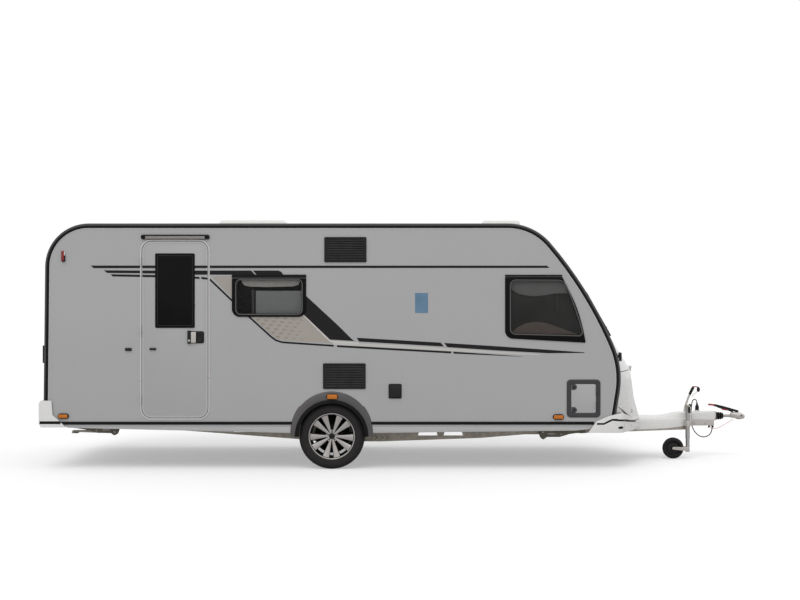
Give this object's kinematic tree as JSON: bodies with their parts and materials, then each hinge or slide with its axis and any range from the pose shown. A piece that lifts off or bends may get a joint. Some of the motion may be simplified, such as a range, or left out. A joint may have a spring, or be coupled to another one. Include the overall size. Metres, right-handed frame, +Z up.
{
  "type": "travel caravan",
  "caption": "Single-axle touring caravan with a hollow body, opening door, locker and hatch lids, corner steadies, overrun drawbar and jockey wheel",
  "frame": {"origin": "on the ground under the middle of the whole trailer", "axes": "+X forward to the coupling, +Y to the left, away from the entrance side, +Z up"},
  "size_m": [7.3575, 2.342, 2.548],
  "materials": {
    "body_panel": "gloss silver grey",
    "floor_board": "coated underside",
    "trim_black": "satin",
    "white_plastic": "gloss",
    "window_dark": "gloss tinted",
    "black_plastic": "matt",
    "lamp_clear": "gloss",
    "lamp_amber": "gloss",
    "lamp_red": "gloss",
    "steel_galvanised": "dull zinc",
    "steel_painted": "satin",
    "gas_steel": "satin",
    "tyre_rubber": "matt",
    "alloy": "polished face",
    "bellows_rubber": "matt",
    "bright_metal": "polished",
    "grip_black": "matt",
    "jockey_rubber": "matt",
    "cord_black": "satin",
    "cord_red": "satin"
  },
  "bodies": {
    "root": {"floor": "floor_board", "right_wall": "body_panel", "left_wall": "body_panel", "roof": "body_panel", "rear_wall": "body_panel", "front_wall": "body_panel", "edge_mouldings": "trim_black", "opening_frames": "trim_black", "side_windows": "window_dark", "end_windows": "window_dark", "skylights": "white_plastic", "wall_fittings": "black_plastic", "awning_light": "lamp_clear", "amber_reflectors": "lamp_amber", "red_lamps": "lamp_red", "rear_bumper": "white_plastic", "lower_trims": "trim_black", "skirts": "white_plastic", "arch_flares": "black_plastic", "wheel_boxes": "black_plastic", "gas_locker": "body_panel", "gas_bottles": "gas_steel", "front_apron": "white_plastic", "grab_handles": "grip_black", "chassis_rails": "steel_galvanised", "drawbar": "steel_galvanised", "drawbar_cover": "white_plastic", "axle": "steel_galvanised", "steady_mounts": "steel_galvanised", "overrun_housing": "steel_painted", "overrun_cover": "white_plastic", "bellows": "bellows_rubber", "coupling_shaft": "bright_metal", "coupling_head": "steel_painted", "coupling_handle": "black_plastic", "handbrake_lever": "grip_black", "lead_plug": "black_plastic", "supply_lead": "cord_black", "breakaway_cable": "cord_red", "jockey_clamp": "steel_painted", "jockey_tube": "bright_metal", "jockey_crank": "grip_black"},
    "jockey_lift": {"jockey_inner_tube": "bright_metal"},
    "jockey_castor": {"jockey_fork": "steel_galvanised"},
    "jockey_wheel": {"jockey_wheel": "jockey_rubber"},
    "entrance_door": {"door_leaf": "body_panel", "door_glass": "window_dark", "door_handle": "black_plastic"},
    "locker_lid": {"locker_lid": "body_panel"},
    "service_lid": {"service_lid": "body_panel"},
    "cassette_lid": {"cassette_lid": "body_panel"},
    "steady_front_right": {"steady_front_right": "steel_galvanised"},
    "steady_front_left": {"steady_front_left": "steel_galvanised"},
    "steady_rear_right": {"steady_rear_right": "steel_galvanised"},
    "steady_rear_left": {"steady_rear_left": "steel_galvanised"},
    "wheel_right": {"wheel_right_tyre": "tyre_rubber", "wheel_right_rim": "alloy"},
    "wheel_left": {"wheel_left_tyre": "tyre_rubber", "wheel_left_rim": "alloy"}
  },
  "joints": [
    {"name": "wheel_right_spin", "type": "hinge", "parent": "root", "child": "wheel_right", "pos_m": [-0.742, -1.0205, 0.33], "axis": [0, 1, 0], "continuous": true},
    {"name": "wheel_left_spin", "type": "hinge", "parent": "root", "child": "wheel_left", "pos_m": [-0.742, 1.0205, 0.33], "axis": [0, 1, 0], "continuous": true},
    {"name": "entrance_door_swing", "type": "hinge", "parent": "root", "child": "entrance_door", "pos_m": [-2.6505, -1.16, 1.4], "axis": [0, 0, -1], "range_deg": [0, 170]},
    {"name": "locker_lid_lift", "type": "hinge", "parent": "root", "child": "locker_lid", "pos_m": [2.4131, 0, 0.978], "axis": [0, -1, 0], "range_deg": [0, 80]},
    {"name": "service_lid_swing", "type": "hinge", "parent": "root", "child": "service_lid", "pos_m": [1.9125, -1.162, 0.712], "axis": [0, 0, 1], "range_deg": [0, 120]},
    {"name": "cassette_lid_swing", "type": "hinge", "parent": "root", "child": "cassette_lid", "pos_m": [-2.787, 1.162, 0.73], "axis": [0, 0, -1], "range_deg": [0, 120]},
    {"name": "steady_front_right_drop", "type": "hinge", "parent": "root", "child": "steady_front_right", "pos_m": [1.41, -0.76, 0.345], "axis": [0, 1, 0], "range_deg": [0, 46]},
    {"name": "steady_front_left_drop", "type": "hinge", "parent": "root", "child": "steady_front_left", "pos_m": [1.41, 0.76, 0.345], "axis": [0, 1, 0], "range_deg": [0, 46]},
    {"name": "steady_rear_right_drop", "type": "hinge", "parent": "root", "child": "steady_rear_right", "pos_m": [-2.985, -0.76, 0.345], "axis": [0, -1, 0], "range_deg": [0, 46]},
    {"name": "steady_rear_left_drop", "type": "hinge", "parent": "root", "child": "steady_rear_left", "pos_m": [-2.985, 0.76, 0.345], "axis": [0, -1, 0], "range_deg": [0, 46]},
    {"name": "jockey_wind", "type": "slide", "parent": "root", "child": "jockey_lift", "axis": [0, 0, 1], "range_m": [-0.12, 0.07]},
    {"name": "jockey_swivel", "type": "hinge", "parent": "jockey_lift", "child": "jockey_castor", "pos_m": [3.025, -0.155, 0.1], "axis": [0, 0, 1], "continuous": true},
    {"name": "jockey_roll", "type": "hinge", "parent": "jockey_castor", "child": "jockey_wheel", "pos_m": [2.868, -0.155, 0.1125], "axis": [0, 1, 0], "continuous": true}
  ]
}
